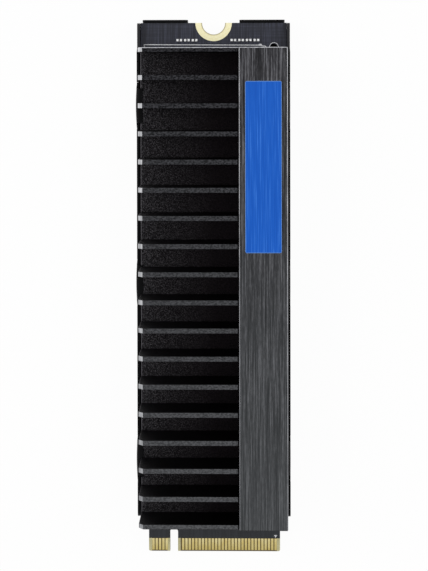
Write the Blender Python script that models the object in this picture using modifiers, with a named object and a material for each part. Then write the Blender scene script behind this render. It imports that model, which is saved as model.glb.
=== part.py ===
# Gumstick solid state drive: a 22 x 80 mm M-keyed card, held between a folded
# clip-on tray and a milled aluminium heat sink with cross fins.
# Sizes are in metres. X runs across the card, Y towards its screw end, and Z up
# from the tray's underside.
import cmath
import math

import bmesh
import bpy
from mathutils import Matrix, Vector

SEAT_GAP = 0.00002  # left between pieces that rest on each other
CUT_PAST = 0.001  # how far a cutter runs past what it cuts

# Circuit board, origin at its middle
BOARD_LENGTH = 0.08
BOARD_WIDTH = 0.022
BOARD_THICKNESS = 0.0008
PLATING = 0.00003  # height of the gold over the board's faces
NOTCH_RADIUS = 0.00175
SCREW_LAND_RADIUS = 0.00275
TOOLING_HOLE_RADIUS = 0.00054
TOOLING_HOLE_FROM_SIDE = 0.00195
TOOLING_HOLE_FROM_END = 0.00366

# Edge connector
SHOULDER_WIDTH = 0.001075
TONGUE_LENGTH = 0.004
SHOULDER_RADIUS = 0.0005
TONGUE_CORNER = 0.0003
KEY_CENTRE = -0.006125
KEY_WIDTH = 0.0012
KEY_DEPTH = 0.0035
KEY_FLAT = 0.0001  # flat left at the top of the key slot's round end
EDGE_BEVEL_LENGTH = 0.0002
EDGE_BEVEL_DEPTH = 0.00012
CONTACT_PITCH = 0.0005
CONTACT_WIDTH = 0.00035
CONTACT_LENGTH = 0.00175
CONTACT_INSET = 0.00022  # from the connector edge
CONTACT_MARGIN = 0.0005  # bare laminate left at either end of a row
CONTACT_KEEP_OUT = 0.001  # either side of the key's centre

# Folded tray
SHEET = 0.0004
BEND_RADIUS = 0.0007  # outer
BOARD_SIDE_GAP = 0.00005
WALL_RISE = 0.0022  # above the board's top face
LOW_WALL_RISE = 0.0012  # beside the screw end
WALL_STEP_LENGTH = 0.0006
WALL_PAST_SINK = 0.00035  # at the connector end
WALL_END_RADIUS = 0.001
WALL_TIP_RADIUS = 0.0005
WALL_END_INSET = 0.00006
TAB_GAP = 0.00005
TAB_RISE = 0.0003
TAB_CORNER = 0.00035
TAB_SIDE_RELIEF = 0.00035
STANDOFF_CLEARANCE = 0.0039  # radius of the cut-out round the screw land
RELIEF_DEPTH = 0.001
TAB_OVERLAP = 0.0005  # length of the tab's foot inside the tray's floor
JOGGLE = 0.00002  # step where a folded tab or tongue leaves the channel

# Snap tongues of the tray
TONGUE_PITCH = 0.0264
SNAP_TONGUE_WIDTH = 0.0068
SNAP_SLIT = 0.00008
SNAP_ROOT = 0.0014  # height where the slits end
SNAP_BASE = 0.0005  # straight run either side of the root
SNAP_FLARE = 0.00017
SNAP_BEND_RADIUS = 0.0005
LIP_WIDTH = 0.005
LIP_SIDE_GAP = 0.0002
LIP_TIP_GAP = 0.00007

# Heat sink
SINK_FROM_SCREW_END = 0.00384
SINK_FROM_CONNECTOR_END = 0.00616
SINK_SIDE_GAP = 0.0002
BASE_THICKNESS = 0.001
FIN_COUNT = 18
FIN_THICKNESS = 0.0007
FIN_HEIGHT = 0.00565
FIN_CHAMFER = 0.00065
LAND_WIDTH = 0.00705
LAND_RISE = 0.00045
SINK_EDGE_CHAMFER = 0.0001
POCKET_DEPTH = 0.00035
POCKET_FLOOR = 0.00055  # above the heat sink's underside
POCKET_HEIGHT = 0.00075

# Thermal pads and label
TOP_PAD_THICKNESS = 0.00044
TOP_PAD_SIDE_INSET = 0.00135  # from the heat sink's sides
TOP_PAD_INSET = 0.0015  # from either end of the heat sink
BOTTOM_PAD_THICKNESS = 0.001
BOTTOM_PAD_SIDE_GAP = 0.00205  # to the tray's walls
BOTTOM_PAD_INSET = 0.0015  # from the tray's connector end
BOTTOM_PAD_TO_STANDOFF = 0.0045
PAD_CORNER = 0.0005
LABEL_SIDE_INSET = 0.0009  # from the land's sides
LABEL_LENGTH = 0.0248
LABEL_THICKNESS = 0.0001
LABEL_FROM_END = 0.00495
LABEL_CORNER = 0.00025

# Chips: all the large packages reach the pad at the same height
CHIP_HEIGHT = 0.0011
SUBSTRATE_THICKNESS = 0.0003
MOULD_INSET = 0.0001
MEMORY_ALONG = 0.014
MEMORY_FROM_LEFT = 0.00015  # from the board's left side
MEMORY_FROM_RIGHT = 0.00385
MEMORY_FROM_END = 0.0042
MEMORY_SPACING = 0.016
BUFFER_ALONG = 0.0075
CHIP_SPACING = 0.0012
CHIP_FROM_LEFT = 0.0014
POWER_COLUMN = 0.0066  # room kept for the power parts on the right

PIN_MARK_RADIUS = 0.0004
PIN_MARK_DEPTH = 0.00006
PIN_MARK_INSET = 0.001

# Small parts: length, width, height and end cap length
RESISTOR_CASE = (0.00084, 0.00036, 0.00026, 0.0003)
SMALL_CAPACITOR_CASE = (0.001, 0.0005, 0.0005, 0.00025)
LARGE_CAPACITOR_CASE = (0.0016, 0.0008, 0.0008, 0.00035)
FUSE_CASE = (0.0016, 0.0008, 0.0005, 0.0003)
CAP_STEP = 0.00002
RESISTOR_PITCH = 0.001155
RESISTOR_GROUPS = ((-0.00517, 3), (0.00298, 4))  # first place across the board, and how many
RESISTOR_FROM_END = 0.0026
INDUCTOR_SIZE = (0.0025, 0.002, 0.001)
INDUCTOR_PITCH = 0.0026
INDUCTOR_COUNT = 3
INDUCTOR_CORNER = 0.0002
INDUCTOR_TERMINAL = (0.0004, 0.0014, 0.0003)  # length along the part, width and height
TERMINAL_STEP = 0.00003  # how far a terminal stands out of the body
POWER_GAP = 0.0004  # between an inductor and its capacitor
FLAT_CHIP_EDGE = 0.00008
POWER_CHIP_SIZE = (0.004, 0.004, 0.00075)
BOOT_MEMORY_SIZE = (0.003, 0.002, 0.0006)
SWITCH_SIZE = (0.002, 0.002, 0.0006)
CRYSTAL_SIZE = (0.002, 0.0016, 0.00035)
CRYSTAL_LID = (0.0001, 0.00015)  # inset and rise
ROW_MARGIN = 0.0021  # from the board's sides to the first and last part of the last row
SMALL_CAPACITOR_PITCH = 0.0011
SMALL_CAPACITOR_COUNT = 4

# Places worked out from the sizes above
board_bottom = SHEET + SEAT_GAP + BOTTOM_PAD_THICKNESS + SEAT_GAP
board_top = board_bottom + BOARD_THICKNESS
chip_top = board_top + SEAT_GAP + CHIP_HEIGHT
sink_bottom = chip_top + SEAT_GAP + TOP_PAD_THICKNESS + SEAT_GAP
fin_floor = sink_bottom + BASE_THICKNESS
fin_top = fin_floor + FIN_HEIGHT
land_top = fin_top + LAND_RISE
board_side = BOARD_WIDTH / 2
tongue_side = board_side - SHOULDER_WIDTH
screw_end = BOARD_LENGTH / 2
connector_end = -BOARD_LENGTH / 2
tray_inner = BOARD_WIDTH / 2 + BOARD_SIDE_GAP
tray_outer = tray_inner + SHEET
tab_outer = screw_end + TAB_GAP + SHEET
sink_side = tray_inner - SINK_SIDE_GAP
sink_start = screw_end - SINK_FROM_SCREW_END
sink_end = connector_end + SINK_FROM_CONNECTOR_END
sink_length = sink_start - sink_end
sink_middle = (sink_start + sink_end) / 2
land_left = sink_side - LAND_WIDTH
memory_left = MEMORY_FROM_LEFT - board_side
memory_across = BOARD_WIDTH - MEMORY_FROM_LEFT - MEMORY_FROM_RIGHT
chip_left = CHIP_FROM_LEFT - board_side
controller_side = BOARD_WIDTH - CHIP_FROM_LEFT - POWER_COLUMN
snap_places = [sink_middle + step * TONGUE_PITCH for step in (-1, 0, 1)]
lip_top = sink_bottom + POCKET_FLOOR + SEAT_GAP + SHEET

FINISHES = {
    "solder_mask": ((0.025, 0.028, 0.042), 0.0, 0.35),
    "anodised_aluminium": ((0.045, 0.046, 0.05), 1.0, 0.4),
    "black_steel": ((0.012, 0.012, 0.013), 0.3, 0.4),
    "thermal_pad": ((0.35, 0.36, 0.38), 0.0, 0.9),
    "blue_film": ((0.02, 0.13, 0.55), 0.0, 0.35),
    "moulded_chip": ((0.015, 0.015, 0.016), 0.0, 0.6),
    "tinned_part": ((0.5, 0.48, 0.45), 0.4, 0.45),
    "ferrite": ((0.06, 0.06, 0.065), 0.0, 0.7),
    "metal_can": ((0.6, 0.58, 0.52), 1.0, 0.3),
}

# How an outline's own axes turn to stand across X, Y or Z
FACING = {
    "X": Matrix(((0, 0, 1), (1, 0, 0), (0, 1, 0))).to_4x4(),
    "Y": Matrix(((1, 0, 0), (0, 0, 1), (0, 1, 0))).to_4x4(),
    "Z": Matrix.Identity(4),
}


def clear_scene():
    for obj in list(bpy.data.objects):
        bpy.data.objects.remove(obj)


def new_collection(name):
    collection = bpy.data.collections.new(name)
    bpy.context.scene.collection.children.link(collection)
    return collection


def finish(name):
    """The named Principled material, made once."""
    if name in bpy.data.materials:
        return bpy.data.materials[name]
    colour, metallic, roughness = FINISHES[name]
    material = bpy.data.materials.new(name)
    material.use_nodes = True
    shader = material.node_tree.nodes["Principled BSDF"]
    shader.inputs["Base Color"].default_value = (*colour, 1.0)
    shader.inputs["Metallic"].default_value = metallic
    shader.inputs["Roughness"].default_value = roughness
    return material


def add_part(name, mesh, finish_name):
    """A finished piece of the drive, one node."""
    part = bpy.data.objects.new(name, mesh)
    mesh.materials.clear()
    mesh.materials.append(finish(finish_name))
    drive.objects.link(part)
    part.parent = frame
    return part


def add_tool(name, mesh):
    """A solid that only cuts or joins another."""
    tool = bpy.data.objects.new(name, mesh)
    tools.objects.link(tool)
    tool.parent = frame
    tool.hide_render = True
    tool.display_type = "WIRE"
    return tool


def combine(part, tool, operation):
    modifier = part.modifiers.new(f"{operation.lower()} {tool.name}", "BOOLEAN")
    modifier.operation = operation
    modifier.object = tool
    modifier.solver = "EXACT"


def rounded(corners, steps=5):
    """An outline through corners given as x, y and radius, with its round corners as arcs.

    Complex numbers keep the arcs' ends exactly on the straight edges.
    """
    points = []
    for index, (x, y, radius) in enumerate(corners):
        if radius == 0:
            points.append((x, y))
            continue
        corner = complex(x, y)
        before = complex(*corners[index - 1][:2]) - corner
        after = complex(*corners[(index + 1) % len(corners)][:2]) - corner
        before /= abs(before)
        after /= abs(after)
        half_angle = abs(cmath.phase(after / before)) / 2
        middle = before + after
        centre = corner + middle / abs(middle) * radius / math.sin(half_angle)
        first = corner + before * radius / math.tan(half_angle)
        last = corner + after * radius / math.tan(half_angle)
        turn = cmath.phase((last - centre) / (first - centre))
        arc = [centre + (first - centre) * cmath.rect(1, turn * step / steps) for step in range(steps + 1)]
        arc[-1] = last
        points += [(point.real, point.imag) for point in arc]
    return points


def square(corners):
    return [(x, y, 0) for x, y in corners]


def rectangle(left, right, low, high, radius=0):
    corners = ((left, low), (right, low), (right, high), (left, high))
    return rounded([(x, y, radius) for x, y in corners])


def swept(name, outline, axis, start, end, closed):
    """The mesh of an outline drawn out along an axis: a solid if it is closed, or else a thin sheet."""
    shape = bmesh.new()
    near = [shape.verts.new((u, v, start)) for u, v in outline]
    far = [shape.verts.new((u, v, end)) for u, v in outline]
    count = len(outline)
    for index in range(count if closed else count - 1):
        after = (index + 1) % count
        shape.faces.new((near[index], near[after], far[after], far[index]))
    if closed:
        shape.faces.new(near)
        shape.faces.new(far)
    bmesh.ops.transform(shape, matrix=FACING[axis], verts=shape.verts)
    bmesh.ops.recalc_face_normals(shape, faces=shape.faces)
    mesh = bpy.data.meshes.new(name)
    shape.to_mesh(mesh)
    shape.free()
    return mesh


def prism(name, outline, axis, start, end):
    return swept(name, outline, axis, start, end, True)


def folded_strip(name, path, axis, start, end):
    """A sheet whose outer skin follows the path, swept along an axis. The path turns round the inside."""
    strip = add_tool(name, swept(name, path, axis, start, end, False))
    solid = strip.modifiers.new("sheet thickness", "SOLIDIFY")
    solid.thickness = SHEET
    solid.offset = -1
    solid.use_even_offset = True
    return strip


def joined(name, meshes):
    """Several meshes in one, as separate bodies for a Boolean union or cut."""
    shape = bmesh.new()
    for mesh in meshes:
        shape.from_mesh(mesh)
    together = bpy.data.meshes.new(name)
    shape.to_mesh(together)
    shape.free()
    return together


def box(name, low, high):
    """A box between two opposite corners."""
    size = Vector(high) - Vector(low)
    middle = (Vector(high) + Vector(low)) / 2
    shape = bmesh.new()
    bmesh.ops.create_cube(shape, size=1, matrix=Matrix.LocRotScale(middle, None, size))
    mesh = bpy.data.meshes.new(name)
    shape.to_mesh(mesh)
    shape.free()
    return mesh


def upright_cylinder(name, radius, x, y, low, high, segments):
    shape = bmesh.new()
    place = Matrix.Translation((x, y, (low + high) / 2))
    bmesh.ops.create_cone(
        shape, cap_ends=True, segments=segments, radius1=radius, radius2=radius,
        depth=high - low, matrix=place,
    )
    mesh = bpy.data.meshes.new(name)
    shape.to_mesh(mesh)
    shape.free()
    return mesh


def chamfer(part, width, angle):
    bevel = part.modifiers.new("edge chamfer", "BEVEL")
    bevel.width = width
    bevel.segments = 1
    bevel.limit_method = "ANGLE"
    bevel.angle_limit = math.radians(angle)


def contact_row(outermost):
    """Contact centres across the tongue, without those that the key slot takes."""
    count = round(2 * outermost / CONTACT_PITCH) + 1
    places = [outermost - CONTACT_PITCH * step for step in range(count)]
    return [x for x in places if abs(x - KEY_CENTRE) > CONTACT_KEEP_OUT]


def contacts(name, outermost, low, high):
    start = connector_end + CONTACT_INSET
    half = CONTACT_WIDTH / 2
    return joined(name, [
        box("contact", (x - half, start, low), (x + half, start + CONTACT_LENGTH, high))
        for x in contact_row(outermost)
    ])


def make_board():
    """The laminate with its tongue, key, screw notch and gold, one plated piece."""
    side, tongue = board_side, tongue_side
    shoulder = connector_end + TONGUE_LENGTH
    key_left = KEY_CENTRE - KEY_WIDTH / 2
    key_right = KEY_CENTRE + KEY_WIDTH / 2
    key_top = connector_end + KEY_DEPTH
    key_radius = KEY_WIDTH / 2 - KEY_FLAT / 2
    outline = rounded([
        (-side, screw_end, 0), (-side, shoulder, 0),
        (-tongue, shoulder, SHOULDER_RADIUS), (-tongue, connector_end, TONGUE_CORNER),
        (key_left, connector_end, 0), (key_left, key_top, key_radius),
        (key_right, key_top, key_radius), (key_right, connector_end, 0),
        (tongue, connector_end, TONGUE_CORNER), (tongue, shoulder, SHOULDER_RADIUS),
        (side, shoulder, 0), (side, screw_end, 0),
    ])
    mesh = prism("circuit_board", outline, "Z", board_bottom, board_top)
    board = add_part("circuit_board", mesh, "solder_mask")

    # Both bevels run on past the board's faces and its edge, so that no face lies in another
    slope = EDGE_BEVEL_LENGTH / EDGE_BEVEL_DEPTH
    back = connector_end + EDGE_BEVEL_LENGTH + slope * CUT_PAST
    front = connector_end - EDGE_BEVEL_LENGTH
    far = screw_end + CUT_PAST
    side_view = rounded(square([
        (front, board_bottom + 2 * EDGE_BEVEL_DEPTH), (back, board_bottom - CUT_PAST),
        (far, board_bottom - CUT_PAST), (far, board_top + CUT_PAST),
        (back, board_top + CUT_PAST), (front, board_top - 2 * EDGE_BEVEL_DEPTH),
    ]))
    reach = side + CUT_PAST
    mesh = prism("bevelled_edge", side_view, "X", -reach, reach)
    combine(board, add_tool("bevelled_edge", mesh), "INTERSECT")

    land = rounded_half_disc(SCREW_LAND_RADIUS)
    low, high = board_bottom - PLATING, board_top + PLATING
    combine(board, add_tool("screw_land", prism("screw_land", land, "Z", low, high)), "UNION")
    middle = (board_bottom + board_top) / 2
    steps = int(2 * (tongue_side - CONTACT_MARGIN) / CONTACT_PITCH)
    outermost = steps * CONTACT_PITCH / 2
    combine(board, add_tool("top_contacts", contacts("top_contacts", outermost, middle, high)), "UNION")
    lower = contacts("bottom_contacts", outermost - CONTACT_PITCH / 2, low, middle)
    combine(board, add_tool("bottom_contacts", lower), "UNION")

    low, high = low - CUT_PAST, high + CUT_PAST
    notch = upright_cylinder("screw_notch", NOTCH_RADIUS, 0, screw_end, low, high, 48)
    combine(board, add_tool("screw_notch", notch), "DIFFERENCE")
    hole_x = side - TOOLING_HOLE_FROM_SIDE
    hole_y = screw_end - TOOLING_HOLE_FROM_END
    hole = upright_cylinder("tooling_hole", TOOLING_HOLE_RADIUS, hole_x, hole_y, low, high, 24)
    combine(board, add_tool("tooling_hole", hole), "DIFFERENCE")


def rounded_half_disc(radius, steps=24):
    """Half a disc whose flat side lies on the board's screw end."""
    angles = [math.pi + math.pi * step / steps for step in range(steps + 1)]
    return [(radius * math.cos(angle), screw_end + radius * math.sin(angle)) for angle in angles]


def make_heat_sink():
    """A bar with a raised land, cut across into fins, and pocketed for the tray's lips."""
    section = rounded(square([
        (-sink_side, sink_bottom), (sink_side, sink_bottom), (sink_side, land_top),
        (land_left, land_top), (land_left, fin_top), (FIN_CHAMFER - sink_side, fin_top),
        (-sink_side, fin_top - FIN_CHAMFER),
    ]))
    mesh = prism("heat_sink", section, "Y", sink_end, sink_start)
    sink = add_part("heat_sink", mesh, "anodised_aluminium")
    chamfer(sink, SINK_EDGE_CHAMFER, 60)

    fin_pitch = (sink_length - FIN_THICKNESS) / (FIN_COUNT - 1)
    gaps = []
    for index in range(FIN_COUNT - 1):
        low_y = sink_end + FIN_THICKNESS + index * fin_pitch
        low = (-sink_side - CUT_PAST, low_y, fin_floor)
        high = (land_left, low_y + fin_pitch - FIN_THICKNESS, land_top + CUT_PAST)
        gaps.append(box("fin_gap", low, high))
    combine(sink, add_tool("fin_gaps", joined("fin_gaps", gaps)), "DIFFERENCE")

    pockets = []
    half = LIP_WIDTH / 2 + LIP_SIDE_GAP
    low_z = sink_bottom + POCKET_FLOOR
    for y in snap_places:
        for side in (-1, 1):
            faces = sorted((side * (sink_side - POCKET_DEPTH), side * (sink_side + CUT_PAST)))
            pockets.append(box(
                "lip_pocket", (faces[0], y - half, low_z), (faces[1], y + half, low_z + POCKET_HEIGHT),
            ))
    combine(sink, add_tool("lip_pockets", joined("lip_pockets", pockets)), "DIFFERENCE")


def make_tray():
    """Sheet steel folded up on four sides, with three snap tongues along each long wall."""
    wall_top = board_top + WALL_RISE
    low_wall_top = board_top + LOW_WALL_RISE
    wall_tip = screw_end - WALL_END_INSET
    wall_end = sink_end - WALL_PAST_SINK
    channel = rounded([
        (-tray_outer, wall_top + CUT_PAST, 0), (-tray_outer, 0, BEND_RADIUS),
        (tray_outer, 0, BEND_RADIUS), (tray_outer, wall_top + CUT_PAST, 0),
    ])
    tray = folded_strip("clip_tray", channel, "Y", wall_end - CUT_PAST, wall_tip + CUT_PAST)
    tools.objects.unlink(tray)
    drive.objects.link(tray)
    tray.hide_render = False
    tray.display_type = "TEXTURED"
    tray.data.materials.append(finish("black_steel"))

    step_start = sink_start - WALL_STEP_LENGTH
    side_view = rounded([
        (wall_end, -CUT_PAST, 0), (wall_tip, -CUT_PAST, 0), (wall_tip, low_wall_top, WALL_TIP_RADIUS),
        (sink_start, low_wall_top, 0), (step_start, wall_top, 0), (wall_end, wall_top, WALL_END_RADIUS),
    ])
    mesh = prism("wall_outline", side_view, "X", -tray_outer - CUT_PAST, tray_outer + CUT_PAST)
    combine(tray, add_tool("wall_outline", mesh), "INTERSECT")

    windows = []
    half = SNAP_TONGUE_WIDTH / 2 + SNAP_SLIT
    for y in snap_places:
        for side in (-1, 1):
            faces = sorted((side * (tray_inner - SHEET / 2), side * (tray_outer + CUT_PAST)))
            windows.append(box(
                "snap_window", (faces[0], y - half, SNAP_ROOT), (faces[1], y + half, wall_top + CUT_PAST),
            ))
    end_width = tray_inner - TAB_SIDE_RELIEF
    relief_side = tray_inner - JOGGLE
    relief_start = screw_end - RELIEF_DEPTH
    end_relief = box(
        "end_relief", (-relief_side, relief_start, -CUT_PAST),
        (relief_side, tab_outer + CUT_PAST, board_top),
    )
    standoff_cut = upright_cylinder(
        "standoff_cut", STANDOFF_CLEARANCE, 0, screw_end, -CUT_PAST, SHEET + CUT_PAST, 64,
    )
    combine(tray, add_tool("snap_windows", joined("snap_windows", windows)), "DIFFERENCE")
    combine(tray, add_tool("end_relief", end_relief), "DIFFERENCE")
    combine(tray, add_tool("standoff_cut", standoff_cut), "DIFFERENCE")

    tab_top = board_top + TAB_RISE
    tab_path = rounded([
        (screw_end - RELIEF_DEPTH - TAB_OVERLAP, JOGGLE, 0), (tab_outer, JOGGLE, BEND_RADIUS),
        (tab_outer, tab_top, 0),
    ])
    for side, name in ((-1, "left"), (1, "right")):
        ends = sorted((side * STANDOFF_CLEARANCE, side * end_width))
        tab = folded_strip(f"{name}_end_tab", tab_path, "X", *ends)
        front_view = rounded(square([
            (ends[0], -CUT_PAST), (ends[1], -CUT_PAST), (ends[1], tab_top - TAB_CORNER),
            (ends[1] - TAB_CORNER, tab_top), (ends[0] + TAB_CORNER, tab_top),
            (ends[0], tab_top - TAB_CORNER),
        ]))
        foot = screw_end - RELIEF_DEPTH - TAB_OVERLAP
        mesh = prism(f"{name}_tab_outline", front_view, "Y", foot - CUT_PAST, tab_outer + CUT_PAST)
        combine(tab, add_tool(f"{name}_tab_outline", mesh), "INTERSECT")
        combine(tray, tab, "UNION")

    for number, y in enumerate(snap_places, 1):
        for side, name in ((-1, "left"), (1, "right")):
            add_snap(tray, f"{name}_snap_{number}", side, y)


def add_snap(tray, name, side, y):
    """One spring tongue: it leans out from its root and ends in a narrower lip, bent in over a pocket."""
    root = side * (tray_outer + JOGGLE)
    flared = side * (tray_outer + SNAP_FLARE)
    lip_tip = side * (sink_side - POCKET_DEPTH + LIP_TIP_GAP)
    path = rounded([
        (root, SNAP_ROOT - SNAP_BASE, 0), (root, SNAP_ROOT + SNAP_BASE, 0),
        (flared, lip_top, SNAP_BEND_RADIUS), (lip_tip, lip_top, 0),
    ])
    half = SNAP_TONGUE_WIDTH / 2
    half_lip = LIP_WIDTH / 2
    strip = folded_strip(name, path, "Y", y - half, y + half)
    faces = sorted((lip_tip - side * CUT_PAST, flared + side * CUT_PAST))
    shoulder = lip_top - SNAP_BEND_RADIUS
    outer = half + CUT_PAST
    corners = joined(f"{name}_corners", [
        box("corner", (faces[0], low_y, shoulder), (faces[1], high_y, lip_top + CUT_PAST))
        for low_y, high_y in ((y - outer, y - half_lip), (y + half_lip, y + outer))
    ])
    combine(strip, add_tool(f"{name}_corners", corners), "DIFFERENCE")
    combine(tray, strip, "UNION")


def make_pads_and_label():
    low = SHEET + SEAT_GAP
    half = tray_inner - BOTTOM_PAD_SIDE_GAP
    end = screw_end - STANDOFF_CLEARANCE - BOTTOM_PAD_TO_STANDOFF
    outline = rectangle(-half, half, sink_end + BOTTOM_PAD_INSET, end, PAD_CORNER)
    mesh = prism("thermal_pad_bottom", outline, "Z", low, low + BOTTOM_PAD_THICKNESS)
    add_part("thermal_pad_bottom", mesh, "thermal_pad")

    low = chip_top + SEAT_GAP
    half = sink_side - TOP_PAD_SIDE_INSET
    outline = rectangle(-half, half, sink_end + TOP_PAD_INSET, sink_start - TOP_PAD_INSET, PAD_CORNER)
    mesh = prism("thermal_pad_top", outline, "Z", low, low + TOP_PAD_THICKNESS)
    add_part("thermal_pad_top", mesh, "thermal_pad")

    low = land_top + SEAT_GAP
    top = sink_start - LABEL_FROM_END
    left, right = land_left + LABEL_SIDE_INSET, sink_side - LABEL_SIDE_INSET
    outline = rectangle(left, right, top - LABEL_LENGTH, top, LABEL_CORNER)
    mesh = prism("heat_sink_label", outline, "Z", low, low + LABEL_THICKNESS)
    add_part("heat_sink_label", mesh, "blue_film")


def stepped_block(name, size, x, y, inset, rise, finish_name):
    """A block with a smaller step on its top: a lid on its base, or a mould cap on its substrate."""
    across, along, height = size
    shape = bmesh.new()
    middle = (0, 0, height / 2)
    bmesh.ops.create_cube(shape, size=1, matrix=Matrix.LocRotScale(middle, None, size))
    top = max(shape.faces, key=lambda face: face.calc_center_median().z)
    bmesh.ops.inset_individual(shape, faces=[top], thickness=inset)
    lifted = bmesh.ops.extrude_discrete_faces(shape, faces=[top])["faces"][0]
    bmesh.ops.translate(shape, verts=lifted.verts, vec=(0, 0, rise))
    mesh = bpy.data.meshes.new(name)
    shape.to_mesh(mesh)
    shape.free()
    part = add_part(name, mesh, finish_name)
    part.location = (x, y, board_top + SEAT_GAP)
    return part


def add_pin_mark(part, across, along, height):
    """The shallow round dimple by the first pin."""
    x, y = PIN_MARK_INSET - across / 2, along / 2 - PIN_MARK_INSET
    name = f"{part.name}_pin_mark"
    mark = upright_cylinder(name, PIN_MARK_RADIUS, x, y, height - PIN_MARK_DEPTH, height + CUT_PAST, 16)
    tool = add_tool(name, mark)
    tool.location = part.location
    combine(part, tool, "DIFFERENCE")


def make_package(name, across, along, x, y):
    """A ball grid package: its substrate, and the mould cap set back a little from the edge."""
    size = (across, along, SUBSTRATE_THICKNESS)
    cap = CHIP_HEIGHT - SUBSTRATE_THICKNESS
    part = stepped_block(name, size, x, y, MOULD_INSET, cap, "moulded_chip")
    add_pin_mark(part, across, along, CHIP_HEIGHT)


def make_block(name, size, x, y, edge, finish_name):
    """A flat moulded part with chamfered edges."""
    across, along, height = size
    mesh = box(name, (-across / 2, -along / 2, 0), (across / 2, along / 2, height))
    part = add_part(name, mesh, finish_name)
    part.location = (x, y, board_top + SEAT_GAP)
    chamfer(part, edge, 30)
    return part


def make_flat_chip(name, size, x, y):
    part = make_block(name, size, x, y, FLAT_CHIP_EDGE, "moulded_chip")
    across, along, height = size
    add_pin_mark(part, across, along, height)


def make_inductor(name, x, y):
    """A moulded power inductor with its two terminals folded under the ends."""
    across, along, height = INDUCTOR_SIZE
    part = make_block(name, INDUCTOR_SIZE, x, y, INDUCTOR_CORNER, "ferrite")
    length, width, rise = INDUCTOR_TERMINAL
    ends = []
    for side in (-1, 1):
        faces = sorted((side * (across / 2 - length), side * (across / 2 + TERMINAL_STEP)))
        ends.append(box("terminal", (faces[0], -width / 2, 0), (faces[1], width / 2, rise)))
    terminals = add_tool(f"{name}_terminals", joined(f"{name}_terminals", ends))
    terminals.location = part.location
    combine(part, terminals, "UNION")


def make_chip_part(name, case, x, y, finish_name, turned=False):
    """A ceramic chip part: the body between two slightly thicker end caps."""
    length, width, height, cap = case
    end, waist = length / 2, length / 2 - cap
    outline = rounded(square([
        (-end, 0), (-waist, 0), (-waist, CAP_STEP), (waist, CAP_STEP), (waist, 0), (end, 0),
        (end, height), (waist, height), (waist, height - CAP_STEP),
        (-waist, height - CAP_STEP), (-waist, height), (-end, height),
    ]))
    mesh = prism(name, outline, "Y", -width / 2, width / 2)
    part = add_part(name, mesh, finish_name)
    part.location = (x, y, board_top + SEAT_GAP)
    part.rotation_euler.z = math.pi / 2 if turned else 0


def make_components():
    memory_y = screw_end - MEMORY_FROM_END - MEMORY_ALONG / 2
    for number in (1, 2):
        y = memory_y - (number - 1) * MEMORY_SPACING
        x = memory_left + memory_across / 2
        make_package(f"flash_memory_chip_{number}", memory_across, MEMORY_ALONG, x, y)
    buffer_y = memory_y - MEMORY_SPACING - MEMORY_ALONG / 2 - CHIP_SPACING - BUFFER_ALONG / 2
    x = chip_left + controller_side / 2
    make_package("buffer_memory_chip", controller_side, BUFFER_ALONG, x, buffer_y)
    controller_y = buffer_y - BUFFER_ALONG / 2 - CHIP_SPACING - controller_side / 2
    make_package("controller_chip", controller_side, controller_side, x, controller_y)

    resistor_y = screw_end - RESISTOR_FROM_END
    number = 0
    for first_x, count in RESISTOR_GROUPS:
        for step in range(count):
            number += 1
            x = first_x + step * RESISTOR_PITCH
            make_chip_part(f"end_resistor_{number}", RESISTOR_CASE, x, resistor_y, "tinned_part")

    # The power parts stand in a column beside the controller and the buffer memory
    column_left = chip_left + controller_side + CHIP_SPACING
    power_across, power_along, _ = POWER_CHIP_SIZE
    make_flat_chip("power_chip", POWER_CHIP_SIZE, column_left + power_across / 2, buffer_y)
    inductor_across, inductor_along, _ = INDUCTOR_SIZE
    first_y = buffer_y - power_along / 2 - CHIP_SPACING - inductor_along / 2
    inductor_x = column_left + inductor_across / 2
    capacitor_x = column_left + inductor_across + POWER_GAP + LARGE_CAPACITOR_CASE[1] / 2
    for index in range(INDUCTOR_COUNT):
        y = first_y - index * INDUCTOR_PITCH
        make_inductor(f"power_inductor_{index + 1}", inductor_x, y)
        name = f"power_capacitor_{index + 1}"
        make_chip_part(name, LARGE_CAPACITOR_CASE, capacitor_x, y, "tinned_part", True)

    # The rest stands in a row between the controller and the edge connector
    row_y = controller_y - controller_side / 2 - CHIP_SPACING - BOOT_MEMORY_SIZE[1] / 2
    small_across = SMALL_CAPACITOR_CASE[1]
    capacitors = small_across + (SMALL_CAPACITOR_COUNT - 1) * SMALL_CAPACITOR_PITCH
    widths = (BOOT_MEMORY_SIZE[0], CRYSTAL_SIZE[0], capacitors, SWITCH_SIZE[0], FUSE_CASE[0])
    row_gap = (BOARD_WIDTH - 2 * ROW_MARGIN - sum(widths)) / (len(widths) - 1)
    left = ROW_MARGIN - board_side
    make_flat_chip("boot_memory_chip", BOOT_MEMORY_SIZE, left + BOOT_MEMORY_SIZE[0] / 2, row_y)
    left += BOOT_MEMORY_SIZE[0] + row_gap
    stepped_block("crystal", CRYSTAL_SIZE, left + CRYSTAL_SIZE[0] / 2, row_y, *CRYSTAL_LID, "metal_can")
    left += CRYSTAL_SIZE[0] + row_gap
    for index in range(SMALL_CAPACITOR_COUNT):
        x = left + small_across / 2 + index * SMALL_CAPACITOR_PITCH
        name = f"small_capacitor_{index + 1}"
        make_chip_part(name, SMALL_CAPACITOR_CASE, x, row_y, "tinned_part", True)
    left += capacitors + row_gap
    make_flat_chip("load_switch", SWITCH_SIZE, left + SWITCH_SIZE[0] / 2, row_y)
    left += SWITCH_SIZE[0] + row_gap
    make_chip_part("input_fuse", FUSE_CASE, left + FUSE_CASE[0] / 2, row_y, "tinned_part")


clear_scene()
drive = new_collection("gumstick solid state drive")
tools = new_collection("cutters")
frame = bpy.data.objects.new("middle_of_the_drive", None)
drive.objects.link(frame)
frame.location.y = -(tab_outer + connector_end) / 2

make_board()
make_tray()
make_heat_sink()
make_pads_and_label()
make_components()
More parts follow.
